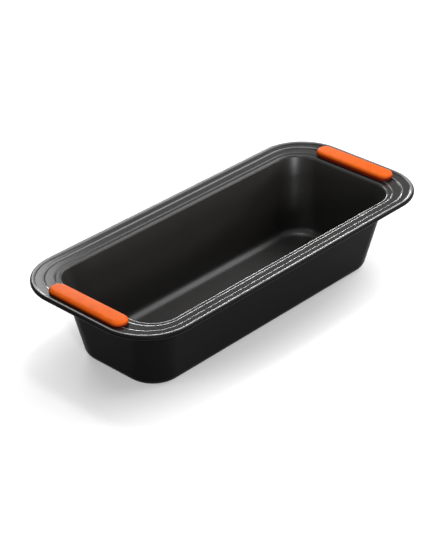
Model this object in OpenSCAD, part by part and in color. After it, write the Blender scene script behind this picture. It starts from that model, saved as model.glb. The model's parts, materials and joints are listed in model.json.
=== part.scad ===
// Loaf pan. One drawn sheet of coated steel makes the floor, the leaning walls, the
// stepped flange and the edge that is rolled round a stiffening wire. A silicone grip
// is snapped through a slot in the flange at each end.
//
// X runs along the pan and Z up. The origin is the middle of the floor's underside.

/* [Pan] */
// Overall length over the rolled edge
pan_length = 350; // [300:1:420]
// Overall width over the rolled edge
pan_width = 153.5; // [130:0.5:190]
// Height from the underside of the floor to the top of the rolled edge
pan_height = 72.5; // [50:0.5:100]
// Thickness of the steel sheet
sheet_t = 0.8; // [0.6:0.05:1]
// Lean of the long walls from upright, in degrees
side_lean = 9.9; // [3:0.1:14]
// Lean of the end walls from upright, in degrees
end_lean = 9.5; // [3:0.1:14]
// Radius inside the pan where the walls meet the floor
floor_fillet_r = 5.2; // [3:0.1:10]
// Radius of the floor's corners at the foot of the wall, seen from above
floor_corner_r = 26; // [18:0.5:32]

/* [Rim] */
// Corner radius of the rolled edge, seen from above
rim_corner_r = 43.8; // [38:0.1:50]
// Width of the rim at the long sides, from its outside to the mouth
side_rim_w = 17.8; // [16:0.1:22]
// Width of the rim at the ends, where the grips sit
end_rim_w = 24.5; // [23:0.1:32]
// Radius over which the flange turns down into the wall
mouth_fillet_r = 2.4; // [1.5:0.1:3.5]
// Width of the flange's outer ledge at the long sides
outer_ledge_w = 4; // [3:0.1:4.5]
// Width of the flange's middle ledge at the long sides
middle_ledge_w = 4.6; // [3.5:0.1:5]
// Drop from the outer ledge to the middle ledge
outer_step = 1; // [0.6:0.05:1.4]
// Drop from the middle ledge to the inner ledge
inner_step = 0.55; // [0.3:0.05:0.8]
// Bend radius of the flange's steps, along the middle of the sheet
step_bend_r = 0.6; // [0.5:0.05:0.8]

/* [Rolled edge] */
// Diameter of the wire inside the rolled edge
wire_d = 2.3; // [2:0.1:3.5]
// Gap left between the wire and the sheet that is rolled round it
wire_gap = 0.15; // [0.12:0.01:0.2]
// Gap between the wire's two ends, in the middle of a long side
wire_joint = 1; // [0.5:0.1:3]
// Angle where the roll leaves the flange, from straight outwards
roll_start = 150; // [135:1:160]
// Angle through which the sheet is rolled round the wire
roll_turn = 330; // [270:1:340]
// Bend radius of the valley between flange and roll, along the middle of the sheet
valley_r = 0.8; // [0.6:0.05:1.2]

/* [Grips] */
// Length of a grip at its foot
grip_length = 80.4; // [70:0.2:90]
// Width of a grip at its foot
grip_width = 17; // [15.2:0.1:17.4]
// Radius of a grip's corners at its foot, seen from above
grip_corner_r = 7.6; // [5:0.1:7.6]
// Distance from the rim's outside to a grip's outer foot
grip_margin = 6.3; // [5.8:0.1:7]
// Height of a grip above the top of the rolled edge
grip_rise = 3; // [1.5:0.1:5]
// How far a grip's sides lean in from its foot to its edge
grip_draft = 1; // [0:0.1:2]
// Bevel round a grip's top
grip_edge = 1.2; // [0.5:0.1:1.6]
// Length of the slot in the flange
slot_length = 60; // [40:0.5:62]
// Width of the slot in the flange
slot_width = 6; // [4:0.1:6.4]
// How far a grip's lip overlaps the slot's edge under the flange
lip_overlap = 2.4; // [1.5:0.1:3]
// Thickness of the lip under the flange
lip_t = 2.4; // [1.5:0.1:3.5]
// Gap between a grip and the steel
grip_gap = 0.1; // [0.05:0.01:0.2]

/* [Hidden] */

// Segments in a quarter circle of an outline seen from above
corner_steps = 12;
// Largest turn of one facet of a bend in the sheet, in degrees
bend_step = 22.5;
// Facets of a full circle in the grips and the wire
round_fn = 32;
// Width of the band of flat floor that the section includes
floor_edge_w = 2;
// Points nearer than this are the same point
same_point = 0.001;

// The sheet is drawn in section as a line along its middle. A point of it is [s, z]: s is
// how far it lies inside the rim's outer edge at the long sides, and z is its height.
bead_r = wire_d / 2 + wire_gap + sheet_t;
roll_r = bead_r - sheet_t / 2;
roll_z = pan_height - bead_r;
valley_s = bead_r - (roll_r + valley_r) * cos(roll_start);
valley_z = roll_z + (roll_r + valley_r) * sin(roll_start);
outer_ledge_z = valley_z - valley_r;
middle_ledge_z = outer_ledge_z - outer_step;
inner_ledge_z = middle_ledge_z - inner_step;
outer_step_s = valley_s + outer_ledge_w;
inner_step_s = outer_step_s + step_run(outer_step) + middle_ledge_w;
mouth_bend_r = mouth_fillet_r - sheet_t / 2;
floor_bend_r = floor_fillet_r + sheet_t / 2;
wall_turn = 90 - side_lean;
wall_top_s = side_rim_w + mouth_bend_r * sin(wall_turn);
wall_top_z = inner_ledge_z - mouth_bend_r * (1 - cos(wall_turn));
wall_foot_z = sheet_t / 2 + floor_bend_r * (1 - cos(wall_turn));
wall_foot_s = wall_top_s + (wall_top_z - wall_foot_z) * tan(side_lean);
floor_edge_s = wall_foot_s + floor_bend_r * sin(wall_turn);

grip_x = pan_length / 2 - grip_margin - grip_width / 2;
grip_top_z = pan_height + grip_rise;
lip_foot_z = inner_ledge_z - sheet_t / 2 - grip_gap - lip_t;

// Points of an arc round [s, z] from angle a to angle b, measured from inwards to up
function arc(centre, r, a, b) =
    let (n = ceil(abs(b - a) / bend_step))
    [for (i = [0:n]) let (t = a + (b - a) * i / n) centre + r * [cos(t), sin(t)]];

// A line without the points that lie on the one before them
function distinct(line) =
    [for (i = [0:len(line) - 1]) if (i == 0 || norm(line[i] - line[i - 1]) > same_point) line[i]];

// Steepest slope of a step: two bends make it alone if the drop is small
function step_turn(drop) = min(60, acos(1 - drop / (2 * step_bend_r)));
function step_slope_l(drop) =
    (drop - 2 * step_bend_r * (1 - cos(step_turn(drop)))) / sin(step_turn(drop));
function step_run(drop) =
    2 * step_bend_r * sin(step_turn(drop)) + step_slope_l(drop) * cos(step_turn(drop));

// A step down from height z, going inwards from s
function step_line(s, z, drop) =
    let (turn = step_turn(drop), run = step_run(drop))
    concat(
        arc([s, z - step_bend_r], step_bend_r, 90, 90 - turn),
        arc([s + run, z - drop + step_bend_r], step_bend_r, 270 - turn, 270));

// The flange, from the valley at its outside to the mouth
flange_line = distinct(concat(
    [[valley_s, outer_ledge_z]],
    step_line(outer_step_s, outer_ledge_z, outer_step),
    step_line(inner_step_s, middle_ledge_z, inner_step),
    [[side_rim_w, inner_ledge_z]]));

// The whole sheet, from the inner end of the roll to the flat floor
sheet_line = distinct(concat(
    arc([bead_r, roll_z], roll_r, 180 - roll_start + roll_turn, 180 - roll_start),
    arc([valley_s, valley_z], valley_r, 360 - roll_start, 270),
    [for (i = [1:len(flange_line) - 2]) flange_line[i]],
    arc([side_rim_w, inner_ledge_z - mouth_bend_r], mouth_bend_r, 90, 90 - wall_turn),
    arc([floor_edge_s, sheet_t / 2 + floor_bend_r], floor_bend_r, 270 - wall_turn, 270),
    [[floor_edge_s + floor_edge_w, sheet_t / 2]]));

// Direction square to the line at point i, on the side that faces food
function unit(v) = v / norm(v);
function along(line, i) = unit(line[i + 1] - line[i]);
function face_normal(d) = [-d[1], d[0]];
function offset_at(line, i) =
    let (
        last = len(line) - 1,
        before = face_normal(along(line, max(i - 1, 0))),
        after = face_normal(along(line, min(i, last - 1))),
        middle = unit(before + after))
    middle / (middle * after);

// A line moved square to itself by d
function moved(line, d) = [for (i = [0:len(line) - 1]) line[i] + d * offset_at(line, i)];

// How far inside the rim's outer edge a point of the section lies at the ends, where the
// flange is wider and the walls have their own lean
flange_stretch = (end_rim_w - valley_s) / (side_rim_w - valley_s);
wall_stretch = tan(end_lean) / tan(side_lean);
function part_of(s, from, to) = min(max(s, from), to) - from;
function end_inset(s) =
    s + (flange_stretch - 1) * part_of(s, valley_s, side_rim_w)
    + (wall_stretch - 1) * part_of(s, wall_top_s, wall_foot_s);

// Corner radius of the outline at s: it shrinks over the rim, changes to the floor's radius
// down the wall, and shrinks again over the floor's fillet
wall_top_r = rim_corner_r - wall_top_s;
function outline_r(s) =
    rim_corner_r - s + part_of(s, wall_top_s, wall_foot_s)
    + (floor_corner_r - wall_top_r) * part_of(s, wall_top_s, wall_foot_s) / (wall_foot_s - wall_top_s);

// One rounded rectangle of the pan at a point [s, z] of the section
function outline(p) =
    let (r = outline_r(p[0]), x = pan_length / 2 - end_inset(p[0]) - r, y = pan_width / 2 - p[0] - r)
    [for (corner = [0:3]) let (sx = corner == 0 || corner == 3 ? 1 : -1, sy = corner < 2 ? 1 : -1)
        for (i = [0:corner_steps]) let (t = 90 * (corner + i / corner_steps))
            [sx * x + r * cos(t), sy * y + r * sin(t), p[1]]];

outline_n = 4 * (corner_steps + 1);

// Triangles between outline i and outline j
function band(i, j) = [for (k = [0:outline_n - 1]) let (l = (k + 1) % outline_n)
    each [[i * outline_n + k, i * outline_n + l, j * outline_n + l],
          [i * outline_n + k, j * outline_n + l, j * outline_n + k]]];

// A solid whose surface is the outlines at a list of section points, capped at both ends
module capped(section) {
    n = len(section);
    polyhedron(
        points = [for (p = section) each outline(p)],
        faces = concat(
            [for (i = [0:n - 2]) each band(i, i + 1)],
            [[for (k = [0:outline_n - 1]) outline_n - 1 - k]],
            [[for (k = [0:outline_n - 1]) (n - 1) * outline_n + k]]),
        convexity = 10);
}

// A ring whose section is a closed list of points
module ring(section) {
    n = len(section);
    polyhedron(
        points = [for (p = section) each outline(p)],
        faces = [for (i = [0:n - 1]) each band(i, (i + 1) % n)],
        convexity = 10);
}

// A line and its offset on the other side, as one closed outline of a sheet of thickness t
function thickened(line, t) =
    let (upper = moved(line, t / 2), lower = moved(line, -t / 2))
    concat([for (i = [len(upper) - 1:-1:0]) upper[i]], lower);

// A block with round corners that stands at height z and gets narrower towards its top
module block(length, width, corner_r, z, h, top_inset) {
    translate([0, 0, z])
        hull()
            for (sx = [-1, 1], sy = [-1, 1])
                translate([sx * (width / 2 - corner_r), sy * (length / 2 - corner_r), 0])
                    cylinder(r1 = corner_r, r2 = corner_r - top_inset, h = h, $fn = round_fn);
}

// A bar with round ends along Y, as wide as the slot plus a margin all round
module slot_bar(margin, z, h) {
    width = slot_width + 2 * margin;
    translate([grip_x, 0, z])
        linear_extrude(h) {
            square([width, slot_length - slot_width], center = true);
            for (side = [-1, 1])
                translate([0, side * (slot_length - slot_width) / 2])
                    circle(d = width, $fn = round_fn);
        }
}

module pan_shell() {
    color([0.14, 0.14, 0.14])
        difference() {
            capped(thickened(sheet_line, sheet_t));
            for (side = [0, 1])
                mirror([side, 0, 0])
                    slot_bar(0, lip_foot_z, pan_height - lip_foot_z);
        }
}

module rim_wire() {
    x = pan_length / 2 - rim_corner_r;
    y = pan_width / 2 - rim_corner_r;
    r = rim_corner_r - bead_r;
    color([0.72, 0.73, 0.74])
        translate([0, 0, roll_z])
            difference() {
                union() {
                    for (corner = [0:3])
                        translate([(corner == 0 || corner == 3 ? x : -x), (corner < 2 ? y : -y), 0])
                            rotate([0, 0, 90 * corner])
                                rotate_extrude(angle = 90, $fn = 4 * corner_steps)
                                    translate([r, 0])
                                        circle(d = wire_d, $fn = round_fn);
                    for (side = [-1, 1]) {
                        translate([0, side * (y + r), 0])
                            rotate([0, 90, 0])
                                cylinder(d = wire_d, h = 2 * x, center = true, $fn = round_fn);
                        translate([side * (x + r), 0, 0])
                            rotate([90, 0, 0])
                                cylinder(d = wire_d, h = 2 * y, center = true, $fn = round_fn);
                    }
                }
                translate([0, y + r, 0])
                    cube([wire_joint, 2 * wire_d, 2 * wire_d], center = true);
            }
}

// The flange and all that is below it (side -1) or above it (side 1), out to height z, with
// the gap that a grip leaves to it
module flange_space(side, z) {
    face = moved(flange_line, -side * (sheet_t / 2 + grip_gap));
    first = face[0];
    last = face[len(face) - 1];
    section = concat(face, [[last[0], z], [first[0], z]]);
    ring(side < 0 ? [for (i = [len(section) - 1:-1:0]) section[i]] : section);
}

// One grip, at the +X end: a cap on the flange, a neck in the slot and a lip below
module grip() {
    edge_z = grip_top_z - grip_edge;
    color([0.95, 0.33, 0.1]) {
        difference() {
            translate([grip_x, 0, 0]) {
                block(grip_length, grip_width, grip_corner_r,
                    inner_ledge_z, edge_z - inner_ledge_z, grip_draft);
                block(grip_length - 2 * grip_draft, grip_width - 2 * grip_draft,
                    grip_corner_r - grip_draft, edge_z, grip_edge, grip_edge);
            }
            flange_space(-1, lip_foot_z);
        }
        difference() {
            slot_bar(lip_overlap, lip_foot_z, outer_ledge_z - lip_foot_z);
            flange_space(1, grip_top_z);
        }
        slot_bar(-grip_gap, lip_foot_z, edge_z - lip_foot_z);
    }
}

module right_grip() {
    grip();
}

module left_grip() {
    mirror([1, 0, 0]) grip();
}

pan_shell();
rim_wire();
left_grip();
right_grip();
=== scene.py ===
"""Loaf pan: a coated steel pan with a rolled, stepped rim and two silicone grips.

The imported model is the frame. The pan's sheet and the grips are modelled again in finer
detail, and the wire in the rolled edge keeps its own mesh. Lengths are in metres.
"""

import json
import logging
import math
from collections.abc import Callable, Iterable
from dataclasses import dataclass, field
from enum import Enum

import bmesh
import bpy
from mathutils import Matrix, Vector

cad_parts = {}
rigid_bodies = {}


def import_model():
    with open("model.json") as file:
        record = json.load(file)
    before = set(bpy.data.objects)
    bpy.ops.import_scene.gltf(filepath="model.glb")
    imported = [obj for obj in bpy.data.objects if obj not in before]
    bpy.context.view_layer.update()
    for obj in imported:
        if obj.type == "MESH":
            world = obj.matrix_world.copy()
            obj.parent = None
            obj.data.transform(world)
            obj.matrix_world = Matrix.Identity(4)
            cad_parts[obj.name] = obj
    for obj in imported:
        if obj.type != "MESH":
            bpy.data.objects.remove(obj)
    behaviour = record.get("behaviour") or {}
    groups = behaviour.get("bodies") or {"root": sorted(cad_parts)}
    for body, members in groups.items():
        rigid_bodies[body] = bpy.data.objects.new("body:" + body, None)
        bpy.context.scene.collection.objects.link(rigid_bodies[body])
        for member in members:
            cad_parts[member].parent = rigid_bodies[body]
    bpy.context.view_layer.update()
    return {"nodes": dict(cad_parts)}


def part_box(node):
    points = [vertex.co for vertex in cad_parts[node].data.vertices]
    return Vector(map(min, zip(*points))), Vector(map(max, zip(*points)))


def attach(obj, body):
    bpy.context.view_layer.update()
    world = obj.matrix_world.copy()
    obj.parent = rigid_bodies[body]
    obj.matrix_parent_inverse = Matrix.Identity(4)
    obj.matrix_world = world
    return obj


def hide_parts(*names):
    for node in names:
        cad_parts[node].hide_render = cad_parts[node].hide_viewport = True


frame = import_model()

MM = 0.001
TOUCH = 1e-6
NEAR = 1e-4
PAINTED_HIGHLIGHT_LAYER = "rub"
SHARP_ANGLE = 40
LOG = logging.getLogger("loaf_pan")

Colour = tuple[float, float, float]
Point = tuple[float, float, float]
MeshPart = bmesh.types.BMEdge | bmesh.types.BMFace


class Side(Enum):
    """The end of the pan that a grip sits on."""

    LEFT = -1
    RIGHT = 1


class Kind(Enum):
    """A kind of mesh part to select, with the name of its list in the mesh."""

    EDGE = "edges"
    FACE = "faces"


# ---------------------------------------------------------------- modelling by operator


def deselect_all() -> None:
    """Leave edit mode if needed and deselect every object."""
    if bpy.context.object and bpy.context.object.mode != "OBJECT":
        bpy.ops.object.mode_set(mode="OBJECT")
    bpy.ops.object.select_all(action="DESELECT")


def make_active(piece: bpy.types.Object) -> None:
    """Select one object and no other."""
    deselect_all()
    piece.select_set(True)
    bpy.context.view_layer.objects.active = piece


def start_piece(name: str) -> bpy.types.Object:
    """Name the primitive that was just added, and open it in edit mode.

    Args:
        name: The piece's name.

    Returns:
        The piece's object.
    """
    piece = bpy.context.object
    piece.name = name
    piece.data.name = name
    bpy.ops.object.mode_set(mode="EDIT")
    return piece


def pick_vertices(piece: bpy.types.Object, wanted: Callable[[Vector], bool]) -> None:
    """Select the vertices, in edit mode, whose place passes a test.

    Args:
        piece: The object in edit mode.
        wanted: Says from a vertex's place whether to select it.
    """
    bpy.ops.mesh.select_all(action="DESELECT")
    mesh = bmesh.from_edit_mesh(piece.data)
    for vertex in mesh.verts:
        if wanted(vertex.co):
            vertex.select_set(True)
    mesh.select_flush(True)
    bmesh.update_edit_mesh(piece.data)


def pick(piece: bpy.types.Object, kind: Kind, wanted: Callable[[MeshPart], bool]) -> None:
    """Select the edges or the faces, in edit mode, that pass a test.

    Args:
        piece: The object in edit mode.
        kind: Edges or faces.
        wanted: Says whether to select an edge or face.
    """
    bpy.ops.mesh.select_mode(type=kind.name)
    bpy.ops.mesh.select_all(action="DESELECT")
    mesh = bmesh.from_edit_mesh(piece.data)
    for part in getattr(mesh, kind.value):
        if wanted(part):
            part.select_set(True)
    bmesh.update_edit_mesh(piece.data)


def apply_modifier(piece: bpy.types.Object, kind: str, **settings: object) -> None:
    """Add a modifier to a piece and apply it.

    Args:
        piece: The object to change.
        kind: The modifier's type.
        **settings: The modifier's properties.
    """
    make_active(piece)
    modifier = piece.modifiers.new(kind.lower(), kind)
    for key, value in settings.items():
        setattr(modifier, key, value)
    bpy.ops.object.modifier_apply(modifier=modifier.name)


def smooth(piece: bpy.types.Object) -> None:
    """Shade a piece smooth, apart from its sharp edges."""
    make_active(piece)
    bpy.ops.object.shade_smooth_by_angle(angle=math.radians(SHARP_ANGLE))


# ---------------------------------------------------------------- shader expressions


class Signal:
    """A node's output socket, with arithmetic that adds Math nodes."""

    def __init__(self, tree: "ShaderTree", socket: bpy.types.NodeSocket) -> None:
        """Wrap a socket of a tree."""
        self.tree = tree
        self.socket = socket

    def _math(self, operation: str, *values: "Signal | float") -> "Signal":
        """Add one Math node."""
        return self.tree.add("ShaderNodeMath", {"operation": operation}, dict(enumerate(values)))

    def __add__(self, other: "Signal | float") -> "Signal":
        """Add."""
        return self._math("ADD", self, other)

    def __radd__(self, other: float) -> "Signal":
        """Add to a number."""
        return self._math("ADD", other, self)

    def __sub__(self, other: "Signal | float") -> "Signal":
        """Subtract."""
        return self._math("SUBTRACT", self, other)

    def __mul__(self, other: "Signal | float") -> "Signal":
        """Multiply."""
        return self._math("MULTIPLY", self, other)

    def ramp(self, low: float, high: float, to_low: float = 0.0, to_high: float = 1.0) -> "Signal":
        """Map a range of values smoothly onto another, and hold it at both ends.

        Args:
            low: Value that gives to_low.
            high: Value that gives to_high.
            to_low: Result at the low end.
            to_high: Result at the high end.

        Returns:
            The mapped signal.
        """
        return self.tree.add(
            "ShaderNodeMapRange",
            {"interpolation_type": "SMOOTHSTEP"},
            {0: self, 1: low, 2: high, 3: to_low, 4: to_high},
        )


class ShaderTree:
    """The node tree of one material or of the world."""

    def __init__(self, owner: bpy.types.Material | bpy.types.World) -> None:
        """Take the node tree of a material or a world."""
        owner.use_nodes = True
        self.owner = owner
        self.nodes = owner.node_tree.nodes
        self.links = owner.node_tree.links

    @classmethod
    def material(cls, name: str) -> "ShaderTree":
        """Start an empty material."""
        tree = cls(bpy.data.materials.new(name))
        tree.nodes.clear()
        return tree

    def finish(self, shader: Signal) -> bpy.types.Material | bpy.types.World:
        """Link a shader to the output.

        Args:
            shader: The whole shader.

        Returns:
            The material or world.
        """
        world = isinstance(self.owner, bpy.types.World)
        output = self.nodes.new("ShaderNodeOutputWorld" if world else "ShaderNodeOutputMaterial")
        self.links.new(shader.socket, output.inputs["Surface"])
        return self.owner

    def node(
        self,
        kind: str,
        settings: dict[str, object] | None = None,
        inputs: "dict[str | int, Signal | float | tuple] | None" = None,
    ) -> bpy.types.Node:
        """Add any node.

        Args:
            kind: The node's type.
            settings: The node's own properties.
            inputs: Values or links for its sockets, by name or number.

        Returns:
            The new node.
        """
        node = self.nodes.new(kind)
        for key, value in (settings or {}).items():
            setattr(node, key, value)
        for key, value in (inputs or {}).items():
            if isinstance(value, Signal):
                self.links.new(value.socket, node.inputs[key])
            else:
                node.inputs[key].default_value = value
        return node

    def add(
        self,
        kind: str,
        settings: dict[str, object] | None = None,
        inputs: "dict[str | int, Signal | float | tuple] | None" = None,
        out: str | int = 0,
    ) -> Signal:
        """Add any node and take one of its outputs.

        Args:
            kind: The node's type.
            settings: The node's own properties.
            inputs: Values or links for its sockets.
            out: The output's name or number.

        Returns:
            That output.
        """
        return Signal(self, self.node(kind, settings, inputs).outputs[out])

    def place(self) -> Signal:
        """Object coordinates, in metres."""
        return self.add("ShaderNodeTexCoord", out="Object")

    def seen(self) -> Signal:
        """1 for rays from the camera, in reflections and through glass; otherwise 0."""
        path = self.node("ShaderNodeLightPath")
        rays = ("Is Camera Ray", "Is Glossy Ray", "Is Transmission Ray")
        camera, glossy, through = (Signal(self, path.outputs[ray]) for ray in rays)
        return (camera + glossy + through).ramp(0, 1)

    def noise(self, place: Signal, size: float, detail: float = 2.0, rough: float = 0.5) -> Signal:
        """Noise whose features are about a given size.

        Args:
            place: Coordinates to read.
            size: Feature size in metres.
            detail: Octaves.
            rough: Strength of the finer octaves.

        Returns:
            A value around 0.5.
        """
        inputs = {"Vector": place, "Scale": 1.0 / size, "Detail": detail, "Roughness": rough}
        return self.add("ShaderNodeTexNoise", None, inputs, "Fac")

    def mix(self, amount: Signal, first: "Signal | Colour", second: "Signal | Colour") -> Signal:
        """Blend two colours."""
        ends = [end if isinstance(end, Signal) else (*end, 1.0) for end in (first, second)]
        inputs = {0: amount, 6: ends[0], 7: ends[1]}
        return self.add("ShaderNodeMix", {"data_type": "RGBA"}, inputs, 2)

    def bump(self, height: Signal, distance: float, normal: Signal | None = None) -> Signal:
        """Turn a height from 0 to 1 into a normal.

        Args:
            height: The relief.
            distance: The relief's full height in metres.
            normal: A normal to start from.

        Returns:
            The bent normal.
        """
        inputs: dict[str | int, Signal | float | tuple] = {"Height": height, "Distance": distance}
        if normal:
            inputs["Normal"] = normal
        return self.add("ShaderNodeBump", None, inputs, "Normal")

    def surface(self, inputs: "dict[str | int, Signal | float | tuple]") -> bpy.types.Material:
        """Finish the material with one Principled shader.

        Args:
            inputs: The shader's sockets.

        Returns:
            The material.
        """
        return self.finish(self.add("ShaderNodeBsdfPrincipled", None, inputs, "BSDF"))


# ---------------------------------------------------------------- finishes


@dataclass(frozen=True)
class Coat:
    """A sprayed coating: nearly black, with fine specks and an orange-peel grain.

    Along the bends that face up, a painted highlight turns it to a paler colour, in specks.
    """

    name: str
    dark: Colour
    light: Colour
    # Colour of the highlight painted on the bends.
    painted_highlight_colour: Colour
    roughness: float
    specular: float
    speck_size: float = 0.0011
    speck_gloss: float = 0.1
    cloud_size: float = 0.02
    cloud_gloss: float = 0.08
    peel_size: float = 0.0009
    peel_height: float = 0.000005
    wave_size: float = 0.055
    wave_height: float = 0.00012

    def material(self) -> bpy.types.Material:
        """Build the coating's material."""
        tree = ShaderTree.material(self.name)
        place = tree.place()
        speck = tree.noise(place, self.speck_size, 3.0, 0.6)
        cloud = tree.noise(place, self.cloud_size, 2.0)
        # The vertex layer says where a highlight is painted on the bends; specks break it up.
        rub = tree.add("ShaderNodeAttribute", {"attribute_name": PAINTED_HIGHLIGHT_LAYER}, None, "Fac")
        painted_highlight_mask = rub * speck.ramp(0.2, 0.6, 0.6, 1.0)
        colour = tree.mix(speck.ramp(0.3, 0.75), self.dark, self.light)
        colour = tree.mix(painted_highlight_mask, colour, self.painted_highlight_colour)
        gloss = (speck - 0.5) * self.speck_gloss + (cloud - 0.5) * self.cloud_gloss
        wave = tree.bump(tree.noise(place, self.wave_size, 1.0), self.wave_height)
        normal = tree.bump(tree.noise(place, self.peel_size, 2.0), self.peel_height, wave)
        return tree.surface(
            {
                "Base Color": colour,
                "Roughness": self.roughness + gloss,
                "Specular IOR Level": self.specular,
                "Normal": normal,
            }
        )


NON_STICK = Coat(
    name="non_stick_coat",
    dark=(0.0135, 0.0126, 0.0120),
    light=(0.0205, 0.0190, 0.0180),
    painted_highlight_colour=(0.05, 0.05, 0.05),
    roughness=0.39,
    specular=0.4,
)
RIM_COAT = Coat(
    name="rim_coat",
    dark=(0.0098, 0.0095, 0.0090),
    light=(0.0155, 0.0150, 0.0142),
    # A bright highlight painted on the rim's bends.
    painted_highlight_colour=(0.3, 0.3, 0.305),
    roughness=0.18,
    specular=0.22,
)
OUTER_COAT = Coat(
    name="outer_coat",
    dark=(0.0035, 0.0035, 0.0037),
    light=(0.0055, 0.0055, 0.0058),
    painted_highlight_colour=(0.02, 0.02, 0.021),
    roughness=0.34,
    specular=0.02,
)


@dataclass(frozen=True)
class Silicone:
    """Moulded orange silicone: matt, with painted shade darkening it towards the foot, and its
    mould's eroded grain.
    """

    deep: Colour = (0.74, 0.108, 0.007)
    pale: Colour = (0.86, 0.150, 0.011)
    # The painted shade's colour, and the heights over which it fades out towards the top.
    painted_shade: Colour = (0.16, 0.010, 0.002)
    painted_shade_low: float = 71.8 * MM
    painted_shade_high: float = 75 * MM
    roughness: float = 0.5
    specular: float = 0.06
    cloud_size: float = 0.006
    grain_size: float = 0.0006
    grain_height: float = 0.00003
    grain_gloss: float = 0.15

    def material(self) -> bpy.types.Material:
        """Build the silicone's material."""
        tree = ShaderTree.material("orange_silicone")
        place = tree.place()
        grain = tree.noise(place, self.grain_size, 3.0, 0.6)
        cloud = tree.noise(place, self.cloud_size, 2.0)
        colour = tree.mix((grain * 0.6 + cloud * 0.4).ramp(0.3, 0.7), self.deep, self.pale)
        # Painted shade: the colour darkens from the top down to the grip's foot.
        height = tree.add("ShaderNodeSeparateXYZ", None, {0: place}, "Z")
        colour = tree.mix(height.ramp(self.painted_shade_low, self.painted_shade_high), self.painted_shade, colour)
        return tree.surface(
            {
                "Base Color": colour,
                "Roughness": self.roughness + (grain - 0.5) * self.grain_gloss,
                "Specular IOR Level": self.specular,
                "Normal": tree.bump(grain, self.grain_height),
            }
        )


@dataclass(frozen=True)
class DrawnWire:
    """Bare drawn steel wire, with faint marks of the die along it."""

    colour: Colour = (0.50, 0.50, 0.51)
    tarnish: Colour = (0.36, 0.34, 0.32)
    roughness: float = 0.32
    cloud_size: float = 0.008
    cloud_gloss: float = 0.15
    mark_size: float = 0.0005
    mark_height: float = 0.00001

    def material(self) -> bpy.types.Material:
        """Build the wire's material."""
        tree = ShaderTree.material("drawn_wire")
        place = tree.place()
        cloud = tree.noise(place, self.cloud_size, 3.0)
        marks = tree.noise(place, self.mark_size, 2.0)
        return tree.surface(
            {
                "Base Color": tree.mix(cloud.ramp(0.35, 0.7), self.colour, self.tarnish),
                "Metallic": 1.0,
                "Roughness": self.roughness + cloud * self.cloud_gloss,
                "Normal": tree.bump(marks, self.mark_height),
            }
        )


@dataclass(frozen=True)
class FloorPaper:
    """Pale paper, lifted to white for the eye away from the pan; the smaller lift near the pan
    paints a shadow round it.
    """

    colour: Colour = (0.7, 0.7, 0.7)
    # The lift is smaller near the pan, which paints a shadow round it.
    lift_in_painted_shadow: float = 0.25
    far_lift: float = 0.6
    painted_shadow_oval: Point = (0.42, 1, 0)
    painted_shadow_reach: tuple[float, float] = (0.05, 0.11)

    def material(self) -> bpy.types.Material:
        """Build the paper's material."""
        tree = ShaderTree.material("floor_paper")
        paper = tree.add("ShaderNodeBsdfDiffuse", None, {"Color": (*self.colour, 1)})
        scaled = {0: tree.place(), 1: self.painted_shadow_oval}
        spread = tree.add("ShaderNodeVectorMath", {"operation": "MULTIPLY"}, scaled)
        away = tree.add("ShaderNodeVectorMath", {"operation": "LENGTH"}, {0: spread}, "Value")
        # Painted shadow: the lift shrinks towards the pan.
        lift = tree.seen() * away.ramp(*self.painted_shadow_reach, self.lift_in_painted_shadow, self.far_lift)
        glow = tree.add("ShaderNodeEmission", None, {"Strength": lift})
        return tree.finish(tree.add("ShaderNodeAddShader", None, {0: paper, 1: glow}))


# ---------------------------------------------------------------- the sheet's section


def arc(centre: Vector, radius: float, start: float, end: float, step: float) -> list[Vector]:
    """Points of an arc in a section.

    Args:
        centre: The arc's centre, as [s, z].
        radius: Its radius.
        start: First angle in degrees, from inwards to up.
        end: Last angle in degrees.
        step: Largest turn from one point to the next, in degrees.

    Returns:
        The points, with both ends.
    """
    count = math.ceil(abs(end - start) / step)
    angles = [math.radians(start + (end - start) * i / count) for i in range(count + 1)]
    return [centre + radius * Vector((math.cos(a), math.sin(a))) for a in angles]


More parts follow.
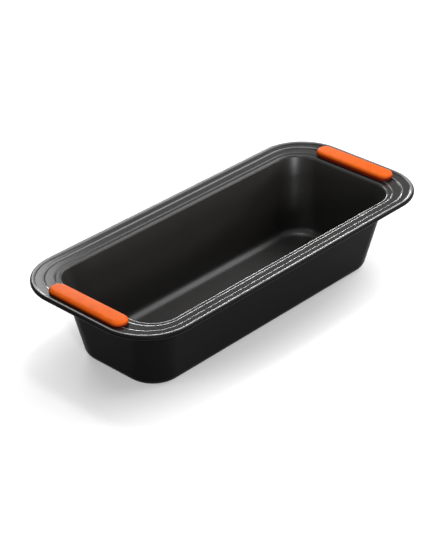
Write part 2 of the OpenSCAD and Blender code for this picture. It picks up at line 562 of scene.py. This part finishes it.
@dataclass
class SheetSection:
    """The sheet's section: a line along its middle, from the roll to the flat floor.

    A point of it is [s, z]: s is how far it lies inside the rim's outer edge at the long
    sides, and z is its height.
    """

    length: float
    width: float
    height: float
    sheet: float = 0.8 * MM
    side_lean: float = 9.9
    end_lean: float = 9.5
    floor_fillet: float = 8 * MM
    floor_corner: float = 26 * MM
    rim_corner: float = 43.8 * MM
    side_rim: float = 17.8 * MM
    end_rim: float = 24.5 * MM
    mouth_fillet: float = 2.4 * MM
    outer_ledge: float = 4 * MM
    middle_ledge: float = 4.6 * MM
    outer_step: float = 1 * MM
    inner_step: float = 0.55 * MM
    step_bend: float = 1 * MM
    bead: float = 2.1 * MM
    roll_start: float = 150
    roll_turn: float = 330
    valley: float = 0.8 * MM
    floor_strip: float = 3 * MM
    steepest: float = 60
    roll_facet: float = 11
    step_facet: float = 15
    mouth_facet: float = 10
    fillet_facet: float = 8
    # Where a highlight is painted along the bends that face up.
    highlight_reach: float = 1 * MM
    highlight_turn: float = 14
    least_highlight: float = 0.3

    def __post_init__(self) -> None:
        """Work out the heights and places that the bends share."""
        self.roll_r = self.bead - self.sheet / 2
        self.roll_z = self.height - self.bead
        roll_start = math.radians(self.roll_start)
        self.valley_s = self.bead - (self.roll_r + self.valley) * math.cos(roll_start)
        self.valley_z = self.roll_z + (self.roll_r + self.valley) * math.sin(roll_start)
        self.outer_z = self.valley_z - self.valley
        self.middle_z = self.outer_z - self.outer_step
        self.inner_z = self.middle_z - self.inner_step
        self.outer_step_s = self.valley_s + self.outer_ledge
        self.inner_step_s = self.outer_step_s + self.step_run(self.outer_step) + self.middle_ledge
        self.mouth_bend = self.mouth_fillet - self.sheet / 2
        self.floor_bend = self.floor_fillet + self.sheet / 2
        lean = math.radians(self.side_lean)
        self.wall_top_s = self.side_rim + self.mouth_bend * math.cos(lean)
        self.wall_top_z = self.inner_z - self.mouth_bend * (1 - math.sin(lean))
        self.wall_foot_z = self.sheet / 2 + self.floor_bend * (1 - math.sin(lean))
        drop = self.wall_top_z - self.wall_foot_z
        self.wall_foot_s = self.wall_top_s + drop * math.tan(lean)
        self.floor_edge_s = self.wall_foot_s + self.floor_bend * math.cos(lean)

    def step_turn(self, drop: float) -> float:
        """Steepest slope of a step, in radians: two bends alone make a small one."""
        return min(math.radians(self.steepest), math.acos(1 - drop / (2 * self.step_bend)))

    def step_run(self, drop: float) -> float:
        """How far a step reaches inwards."""
        turn = self.step_turn(drop)
        slope = (drop - 2 * self.step_bend * (1 - math.cos(turn))) / math.sin(turn)
        return 2 * self.step_bend * math.sin(turn) + slope * math.cos(turn)

    def step_line(self, s: float, z: float, drop: float) -> list[Vector]:
        """A step down from height z, going inwards from s."""
        turn = math.degrees(self.step_turn(drop))
        run = self.step_run(drop)
        bend, facet = self.step_bend, self.step_facet
        head, foot = Vector((s, z - bend)), Vector((s + run, z - drop + bend))
        return arc(head, bend, 90, 90 - turn, facet) + arc(foot, bend, 270 - turn, 270, facet)

    def line(self) -> list[Vector]:
        """The whole section, from the inner end of the roll to the flat floor."""
        wall_turn = 90 - self.side_lean
        roll = 180 - self.roll_start
        bead = Vector((self.bead, self.roll_z))
        valley = Vector((self.valley_s, self.valley_z))
        mouth = Vector((self.side_rim, self.inner_z - self.mouth_bend))
        fillet = Vector((self.floor_edge_s, self.sheet / 2 + self.floor_bend))
        points = (
            arc(bead, self.roll_r, roll + self.roll_turn, roll, self.roll_facet)
            + arc(valley, self.valley, 180 + roll, 270, self.step_facet)
            + self.step_line(self.outer_step_s, self.outer_z, self.outer_step)
            + self.step_line(self.inner_step_s, self.middle_z, self.inner_step)
            + arc(mouth, self.mouth_bend, 90, 90 - wall_turn, self.mouth_facet)
            + arc(fillet, self.floor_bend, 270 - wall_turn, 270, self.fillet_facet)
            + [Vector((self.floor_edge_s + self.floor_strip, self.sheet / 2))]
        )
        kept = [points[0]]
        for point in points[1:]:
            if (point - kept[-1]).length > TOUCH:
                kept.append(point)
        return kept

    def rub(self, points: list[Vector]) -> list[float]:
        """How much highlight is painted on each section point: most where the top of the sheet
        bends down.

        The higher bends get more, and a point next to a long flat gets none.

        Args:
            points: The section's points.

        Returns:
            A value from 0 to 1 for each point.
        """
        values = [0.0] * len(points)
        for i in range(1, len(points) - 1):
            before, after = points[i] - points[i - 1], points[i + 1] - points[i]
            if max(before.length, after.length) > self.highlight_reach:
                continue
            facing_up = max(0.0, after.normalized().x)
            turn = math.degrees(after.angle_signed(before, 0.0))
            level = (points[i].y - self.inner_z) / (self.outer_z - self.inner_z)
            bent = min(1.0, max(0.0, -turn / self.highlight_turn))
            values[i] = bent * facing_up**2 * min(1.0, max(self.least_highlight, level))
        return values

    @staticmethod
    def _part(s: float, start: float, end: float) -> float:
        """How much of a stretch of the section lies before s."""
        return min(max(s, start), end) - start

    def half_length(self, s: float) -> float:
        """Half the outline's length at s; the flange is wider at the ends."""
        flange = (self.end_rim - self.valley_s) / (self.side_rim - self.valley_s) - 1
        wall = math.tan(math.radians(self.end_lean)) / math.tan(math.radians(self.side_lean)) - 1
        more = flange * self._part(s, self.valley_s, self.side_rim)
        more += wall * self._part(s, self.wall_top_s, self.wall_foot_s)
        return self.length / 2 - s - more

    def half_width(self, s: float) -> float:
        """Half the outline's width at s."""
        return self.width / 2 - s

    def corner(self, s: float) -> float:
        """The outline's corner radius at s."""
        down = self._part(s, self.wall_top_s, self.wall_foot_s)
        change = self.floor_corner - (self.rim_corner - self.wall_top_s)
        share = down / (self.wall_foot_s - self.wall_top_s)
        return self.rim_corner - s + down + change * share


# ---------------------------------------------------------------- the pan


@dataclass
class Pan:
    """The pressed and coated sheet, with its rolled edge."""

    section: SheetSection
    inner_coat: Coat = NON_STICK
    rim_coat: Coat = RIM_COAT
    outer_coat: Coat = OUTER_COAT
    corner_segments: int = 24
    long_cuts: int = 9
    short_cuts: int = 3
    outer_facing: float = 0.35
    downward: float = -0.1

    def build(self) -> bpy.types.Object:
        """Model the sheet, still without slots or coats.

        Returns:
            The pan's object.
        """
        pan = self._quarter_sheet()
        apply_modifier(pan, "MIRROR", use_axis=(True, True, False), merge_threshold=NEAR / 10)
        self._close_floor(pan)
        apply_modifier(
            pan, "SOLIDIFY", thickness=self.section.sheet, offset=0, use_even_offset=True
        )
        return pan

    def dress(self, pan: bpy.types.Object) -> None:
        """Shade and coat the finished sheet."""
        smooth(pan)
        apply_modifier(pan, "WEIGHTED_NORMAL", keep_sharp=True, weight=100)
        pan.data.materials.clear()
        for coat in (self.inner_coat, self.rim_coat, self.outer_coat):
            pan.data.materials.append(coat.material())
        make_active(pan)
        bpy.ops.object.mode_set(mode="EDIT")
        rim_z = self.section.inner_z - self.section.sheet
        wanted = (lambda face: face.calc_center_median().z > rim_z, self._sprayed_from_outside)
        for slot, choice in enumerate(wanted, start=1):
            pick(pan, Kind.FACE, choice)
            pan.active_material_index = slot
            bpy.ops.object.material_slot_assign()
        bpy.ops.object.mode_set(mode="OBJECT")

    def _sprayed_from_outside(self, face: bmesh.types.BMFace) -> bool:
        """Whether a face looks outwards or down, and so has the outer coat."""
        x, y, _ = face.calc_center_median()
        ends = max(0.0, abs(x) - (self.section.length - self.section.width) / 2)
        outwards = Vector((math.copysign(ends, x), y, 0))
        if outwards.length > NEAR:
            outwards.normalize()
        return face.normal.z < self.downward or face.normal.dot(outwards) > self.outer_facing

    def _quarter_sheet(self) -> bpy.types.Object:
        """Draw a quarter of the outline and extrude it along the section."""
        section = self.section
        points = section.line()
        s, z = points[0]
        x, y = section.half_length(s), section.half_width(s)
        r = section.corner(s)
        deselect_all()
        bpy.ops.mesh.primitive_plane_add(size=1, location=(0, 0, 0))
        pan = start_piece("pan_sheet")
        bpy.ops.transform.resize(value=(x, y, 1))
        bpy.ops.transform.translate(value=(x / 2, y / 2, z))
        pick_vertices(pan, lambda v: v.x < x / 2 and v.y < y / 2)
        bpy.ops.mesh.delete(type="VERT")
        pick(pan, Kind.EDGE, lambda edge: abs(edge.verts[0].co.y - edge.verts[1].co.y) < TOUCH)
        pick_vertices(pan, lambda v: v.x > x / 2 and v.y > y / 2)
        bpy.ops.mesh.bevel(offset=r, segments=self.corner_segments, profile=0.5, affect="VERTICES")
        for axis, cuts in ((0, self.long_cuts), (1, self.short_cuts)):
            pick(
                pan,
                Kind.EDGE,
                lambda edge: abs(edge.verts[0].co[1 - axis] - edge.verts[1].co[1 - axis]) < TOUCH,
            )
            bpy.ops.mesh.subdivide(number_cuts=cuts)
        bpy.ops.mesh.select_mode(type="VERT")
        bpy.ops.mesh.select_all(action="SELECT")
        # A vertex layer for the highlight painted on the sheet's bends.
        bmesh.from_edit_mesh(pan.data).verts.layers.float.new(PAINTED_HIGHLIGHT_LAYER)
        painted_highlights = section.rub(points)
        for before, after, rub in zip(points, points[1:], painted_highlights[1:]):
            self._extrude_ring(pan, before, after, rub)
        bpy.ops.object.mode_set(mode="OBJECT")
        return pan

    def _extrude_ring(
        self, pan: bpy.types.Object, before: Vector, after: Vector, rub: float
    ) -> None:
        """Extrude the outline from one section point to the next.

        Args:
            pan: The object in edit mode, with the last outline selected.
            before: The last section point.
            after: The next one.
            rub: How much highlight is painted on the sheet there.
        """
        section = self.section
        x, y = section.half_length(before[0]), section.half_width(before[0])
        r = section.corner(before[0])
        new_x, new_y = section.half_length(after[0]), section.half_width(after[0])
        new_r = section.corner(after[0])
        z = after[1]
        bpy.ops.mesh.extrude_region_move(TRANSFORM_OT_translate={"value": (0, 0, z - before[1])})
        mesh = bmesh.from_edit_mesh(pan.data)
        ring = [vertex for vertex in mesh.verts if vertex.select]
        end = [v for v in ring if v.co.x > x - r - NEAR]
        side = [v for v in ring if v.co.y > y - r - NEAR]
        corner = [v for v in end if v in side]
        long_run = [v for v in ring if v not in end]
        short_run = [v for v in ring if v not in side]
        stretch_x, stretch_y = (new_x - new_r) / (x - r), (new_y - new_r) / (y - r)
        resize, translate = bpy.ops.transform.resize, bpy.ops.transform.translate
        moves = (
            (long_run, resize, (stretch_x, 1, 1), (0, 0, z)),
            (short_run, resize, (1, stretch_y, 1), (0, 0, z)),
            (end, translate, (new_x - x, 0, 0), None),
            (side, translate, (0, new_y - y, 0), None),
            (corner, resize, (new_r / r, new_r / r, 1), (new_x, new_y, z)),
        )
        # Store how much highlight is painted on the new ring.
        layer = mesh.verts.layers.float[PAINTED_HIGHLIGHT_LAYER]
        for vertex in ring:
            vertex[layer] = rub
        for chosen, move, value, centre in moves:
            self._select(pan, mesh, chosen)
            move(value=value, **({"center_override": centre} if centre else {}))
        self._select(pan, mesh, ring)

    @staticmethod
    def _select(
        pan: bpy.types.Object, mesh: bmesh.types.BMesh, chosen: Iterable[bmesh.types.BMVert]
    ) -> None:
        """Select some vertices of the mesh in edit mode, and no others."""
        for vertex in mesh.verts:
            vertex.select_set(False)
        for vertex in chosen:
            vertex.select_set(True)
        mesh.select_flush(True)
        bmesh.update_edit_mesh(pan.data)

    def _close_floor(self, pan: bpy.types.Object) -> None:
        """Fill the flat floor and turn every face the same way."""
        floor_z = self.section.sheet / 2
        make_active(pan)
        bpy.ops.object.mode_set(mode="EDIT")
        pick(
            pan,
            Kind.EDGE,
            lambda edge: edge.is_boundary and max(v.co.z for v in edge.verts) < floor_z + TOUCH,
        )
        bpy.ops.mesh.edge_face_add()
        bpy.ops.mesh.poke()
        bpy.ops.mesh.select_all(action="SELECT")
        bpy.ops.mesh.normals_make_consistent(inside=False)
        bpy.ops.object.mode_set(mode="OBJECT")


# ---------------------------------------------------------------- the grips


@dataclass
class Grip:
    """A silicone grip: a cap on the flange, a neck in the slot and a lip below."""

    side: Side
    section: SheetSection
    silicone: Silicone = field(default_factory=Silicone)
    length: float = 80.4 * MM
    width: float = 16.4 * MM
    corner: float = 7.4 * MM
    margin: float = 6.3 * MM
    rise: float = 3 * MM
    draft: float = 0.9 * MM
    edge_round: float = 2.2 * MM
    foot_round: float = 1.2 * MM
    tilt: float = 3
    slot_length: float = 60 * MM
    slot_width: float = 6 * MM
    lip_overlap: float = 2.4 * MM
    lip: float = 2.4 * MM
    corner_segments: int = 14
    round_segments: int = 6

    def __post_init__(self) -> None:
        """Work out the grip's place from the flange's."""
        self.centre_x = self.section.length / 2 - self.margin - self.width / 2
        self.top_z = self.section.height + self.rise
        self.lip_z = self.section.inner_z - self.section.sheet / 2 - self.lip

    def _bar(
        self, name: str, length: float, width: float, low: float, high: float, r: float
    ) -> bpy.types.Object:
        """A bar with round corners that lies across the pan's end, left in edit mode.

        Args:
            name: The piece's name.
            length: Its length along Y.
            width: Its width along X.
            low: The height of its underside.
            high: The height of its top.
            r: Its corner radius, seen from above.

        Returns:
            The bar's object.
        """
        deselect_all()
        place = (self.side.value * self.centre_x, 0, (low + high) / 2)
        bpy.ops.mesh.primitive_cube_add(size=1, location=place, scale=(width, length, high - low))
        bpy.ops.object.transform_apply(location=True, rotation=True, scale=True)
        bar = start_piece(name)
        pick(bar, Kind.EDGE, lambda edge: abs(edge.verts[0].co.z - edge.verts[1].co.z) > TOUCH)
        bpy.ops.mesh.bevel(
            offset=r, segments=self.corner_segments, profile=0.5, affect="EDGES"
        )
        return bar

    def slot_cutter(self) -> bpy.types.Object:
        """A bar that cuts the grip's slot in the flange."""
        section = self.section
        low, high = section.inner_z - section.sheet, section.outer_z + section.sheet
        radius = self.slot_width / 2 - TOUCH
        cutter = self._bar("slot_cutter", self.slot_length, self.slot_width, low, high, radius)
        bpy.ops.object.mode_set(mode="OBJECT")
        return cutter

    def build(self, pan: bpy.types.Object) -> bpy.types.Object:
        """Model the grip and seat it on the slotted flange.

        Args:
            pan: The finished pan, whose sheet is cut out of the grip.

        Returns:
            The grip's object.
        """
        grip = self._cap()
        self._foot(grip)
        self._lip(grip)
        bpy.ops.object.mode_set(mode="OBJECT")
        apply_modifier(grip, "BOOLEAN", object=pan, operation="DIFFERENCE", solver="EXACT")
        self._drop_scraps(grip)
        return grip

    def dress(self, grip: bpy.types.Object) -> None:
        """Shade and colour the finished grip."""
        smooth(grip)
        grip.data.materials.clear()
        grip.data.materials.append(self.silicone.material())

    def _cap(self) -> bpy.types.Object:
        """The part above the flange: a soft bar whose foot reaches down to the inner ledge."""
        section = self.section
        low = section.outer_z + section.sheet / 2
        high = self.top_z - self.width / 4 * math.sin(math.radians(self.tilt))
        name = f"{self.side.name.lower()}_grip_piece"
        cap = self._bar(name, self.length, self.width, low, high, self.corner)
        pick(cap, Kind.FACE, lambda face: face.normal.z > 0.9)
        scale = (1 - 2 * self.draft / self.width, 1 - 2 * self.draft / self.length, 1)
        bpy.ops.transform.resize(value=scale)
        for height, up, r in ((high, 1, self.edge_round), (low, -1, self.foot_round)):
            pick(
                cap,
                Kind.EDGE,
                lambda edge: all(up * (v.co.z - height) > -TOUCH for v in edge.verts),
            )
            bpy.ops.mesh.bevel(
                offset=r, segments=self.round_segments, profile=0.5, affect="EDGES"
            )
        pick_vertices(cap, lambda v: v.z > low + self.foot_round / 2)
        centre = (self.side.value * self.centre_x, 0, low)
        turn = math.radians(self.tilt) * self.side.value
        bpy.ops.transform.rotate(value=turn, orient_axis="Y", center_override=centre)
        pick(cap, Kind.FACE, lambda face: face.normal.z < -0.9 and len(face.verts) > 4)
        drop = section.inner_z - low
        bpy.ops.mesh.extrude_region_move(TRANSFORM_OT_translate={"value": (0, 0, drop)})
        return cap

    def _foot(self, cap: bpy.types.Object) -> None:
        """Step the cap's foot up with the flange, along the middle of the sheet."""
        section = self.section
        outline = section.length / 2
        levels = (
            (section.inner_step_s, section.inner_step, section.middle_z),
            (section.outer_step_s, section.outer_step, section.outer_z),
        )
        for s, drop, z in levels:
            near = section.half_length(s)
            far = section.half_length(s + section.step_run(drop))
            for x in (near, far):
                bpy.ops.mesh.select_mode(type="FACE")
                bpy.ops.mesh.select_all(action="SELECT")
                bpy.ops.mesh.bisect(plane_co=(self.side.value * x, 0, 0), plane_no=(1, 0, 0))
            pick_vertices(cap, lambda v: v.z < z and outline > abs(v.x) > near - TOUCH)
            bpy.ops.transform.resize(value=(1, 1, 0), center_override=(0, 0, z))

    def _lip(self, cap: bpy.types.Object) -> None:
        """Inset the cap's foot and extrude it down through the flange to the lip."""
        section = self.section
        highest = section.outer_z + NEAR
        inset = (self.width - self.slot_width) / 2 - self.foot_round - self.lip_overlap
        pick(
            cap,
            Kind.FACE,
            lambda face: face.normal.z < -0.3 and face.calc_center_median().z < highest,
        )
        bpy.ops.mesh.inset(thickness=inset, depth=0, use_even_offset=True)
        bpy.ops.mesh.extrude_region_move(
            TRANSFORM_OT_translate={"value": (0, 0, self.lip_z - section.inner_z)}
        )
        bpy.ops.transform.resize(value=(1, 1, 0), center_override=(0, 0, self.lip_z))

    def _drop_scraps(self, grip: bpy.types.Object) -> None:
        """Keep only the connected mesh that holds the grip's top."""
        make_active(grip)
        bpy.ops.object.mode_set(mode="EDIT")
        bpy.ops.mesh.select_mode(type="VERT")
        pick_vertices(grip, lambda v: v.z > self.top_z - self.edge_round / 2)
        bpy.ops.mesh.select_linked()
        bpy.ops.mesh.select_all(action="INVERT")
        bpy.ops.mesh.delete(type="VERT")
        bpy.ops.mesh.select_all(action="SELECT")
        bpy.ops.mesh.remove_doubles(threshold=TOUCH)
        bpy.ops.object.mode_set(mode="OBJECT")


# ---------------------------------------------------------------- the studio


@dataclass(frozen=True)
class Softbox:
    """A rectangular lamp that faces the pan; its azimuth turns from X to Y."""

    name: str
    azimuth: float
    elevation: float
    distance: float
    width: float
    height: float
    radiance: float
    aim: Point = (0, 0, 0.05)

    def build(self) -> bpy.types.Object:
        """Hang the lamp.

        Returns:
            The lamp's object.
        """
        lamp = bpy.data.lights.new(self.name, "AREA")
        lamp.shape = "RECTANGLE"
        lamp.size = self.width
        lamp.size_y = self.height
        lamp.energy = math.pi * self.width * self.height * self.radiance
        box = bpy.data.objects.new(self.name, lamp)
        bpy.context.scene.collection.objects.link(box)
        turn, rise = math.radians(self.azimuth), math.radians(self.elevation)
        level = Vector((math.cos(turn), math.sin(turn), 0))
        way = level * math.cos(rise) + Vector((0, 0, math.sin(rise)))
        box.location = Vector(self.aim) + way * self.distance
        box.rotation_euler = way.to_track_quat("Z", "Y").to_euler()
        return box


@dataclass
class Studio:
    """A pale floor, softboxes and the camera, whose azimuth turns from -Y to X."""

    world_strength: float = 0.15
    floor_size: float = 8.0
    floor_gap: float = 0.0001
    paper: FloorPaper = FloorPaper()
    camera_azimuth: float = -47.48
    camera_elevation: float = 30.47
    camera_distance: float = 1.481
    camera_right: float = -0.0086
    camera_up: float = 0.0292
    lens: float = 118.1
    sensor: float = 36
    lamps: tuple[Softbox, ...] = (
        Softbox("main_softbox", -12, 45, 1.6, 1.7, 0.85, 4.1),
        Softbox("top_softbox", 45, 84, 1.4, 0.25, 0.25, 20),
        Softbox("right_strip", -42, 15, 1.6, 0.8, 0.15, 16),
        Softbox("back_strip", 48, 10, 1.6, 0.5, 0.2, 24),
        Softbox("back_softbox", 70, 33, 1.6, 0.75, 0.35, 8),
        Softbox("front_low_softbox", -120, 6, 1.6, 0.2, 0.16, 115),
        Softbox("front_softbox", -120, 19, 1.6, 0.3, 0.25, 26),
        Softbox("left_softbox", 165, 28, 1.6, 0.6, 0.4, 3),
    )

    def build(self) -> None:
        """Make the floor, the world, the lamps and the camera."""
        self._floor()
        self._world()
        for lamp in self.lamps:
            lamp.build()
        self._camera()

    def _floor(self) -> None:
        """A plain floor that looks white to the camera and in reflections, except for a shadow
        painted round the pan.
        """
        deselect_all()
        bpy.ops.mesh.primitive_plane_add(size=self.floor_size, location=(0, 0, -self.floor_gap))
        floor = bpy.context.object
        floor.name = "studio_floor"
        floor.data.materials.append(self.paper.material())

    def _world(self) -> None:
        """An even, dim light from all round, on a white background."""
        world = bpy.data.worlds.new("studio_world")
        bpy.context.scene.world = world
        tree = ShaderTree(world)
        tree.nodes.clear()
        strength = self.world_strength + tree.seen() * (1 - self.world_strength)
        tree.finish(tree.add("ShaderNodeBackground", None, {"Strength": strength}))

    def _camera(self) -> None:
        """The camera, which looks down along the pan from its near left corner."""
        azimuth, elevation = math.radians(self.camera_azimuth), math.radians(self.camera_elevation)
        back = Vector(
            (
                math.sin(azimuth) * math.cos(elevation),
                -math.cos(azimuth) * math.cos(elevation),
                math.sin(elevation),
            )
        )
        right = Vector((math.cos(azimuth), math.sin(azimuth), 0))
        up = back.cross(right)
        lens = bpy.data.cameras.new("camera")
        lens.lens = self.lens
        lens.sensor_width = self.sensor
        camera = bpy.data.objects.new("camera", lens)
        bpy.context.scene.collection.objects.link(camera)
        place = back * self.camera_distance + right * self.camera_right + up * self.camera_up
        turn = Matrix((right, up, back)).transposed().to_4x4()
        camera.matrix_world = Matrix.Translation(place) @ turn
        bpy.context.scene.camera = camera
        bpy.context.scene.view_settings.view_transform = "Standard"


# ---------------------------------------------------------------- assembly


def report(piece: bpy.types.Object) -> None:
    """Log a piece's name and size."""
    size = " x ".join(f"{edge / MM:.1f}" for edge in piece.dimensions)
    LOG.info("%s: %s mm, %d faces", piece.name, size, len(piece.data.polygons))


def dress_wire() -> None:
    """Give the wire in the rolled edge its steel."""
    wire = frame["nodes"]["rim_wire"]
    wire.data.materials.clear()
    wire.data.materials.append(DrawnWire().material())
    report(wire)


def main() -> None:
    """Build the studio and the pan, and tie each piece to the frame."""
    logging.basicConfig(level=logging.INFO, format="%(name)s: %(message)s")
    Studio().build()
    low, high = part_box("pan_shell")
    section = SheetSection(high.x - low.x, high.y - low.y, high.z)
    pan_parts = Pan(section)
    pan = pan_parts.build()
    grips = [Grip(side, section) for side in Side]
    for grip in grips:
        cutter = grip.slot_cutter()
        apply_modifier(pan, "BOOLEAN", object=cutter, operation="DIFFERENCE", solver="EXACT")
        bpy.data.objects.remove(cutter)
    for grip in grips:
        piece = grip.build(pan)
        grip.dress(piece)
        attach(piece, "root")
        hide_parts(f"{grip.side.name.lower()}_grip")
        report(piece)
    pan_parts.dress(pan)
    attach(pan, "root")
    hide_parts("pan_shell")
    report(pan)
    dress_wire()


if __name__ == "__main__":
    main()
    deselect_all()
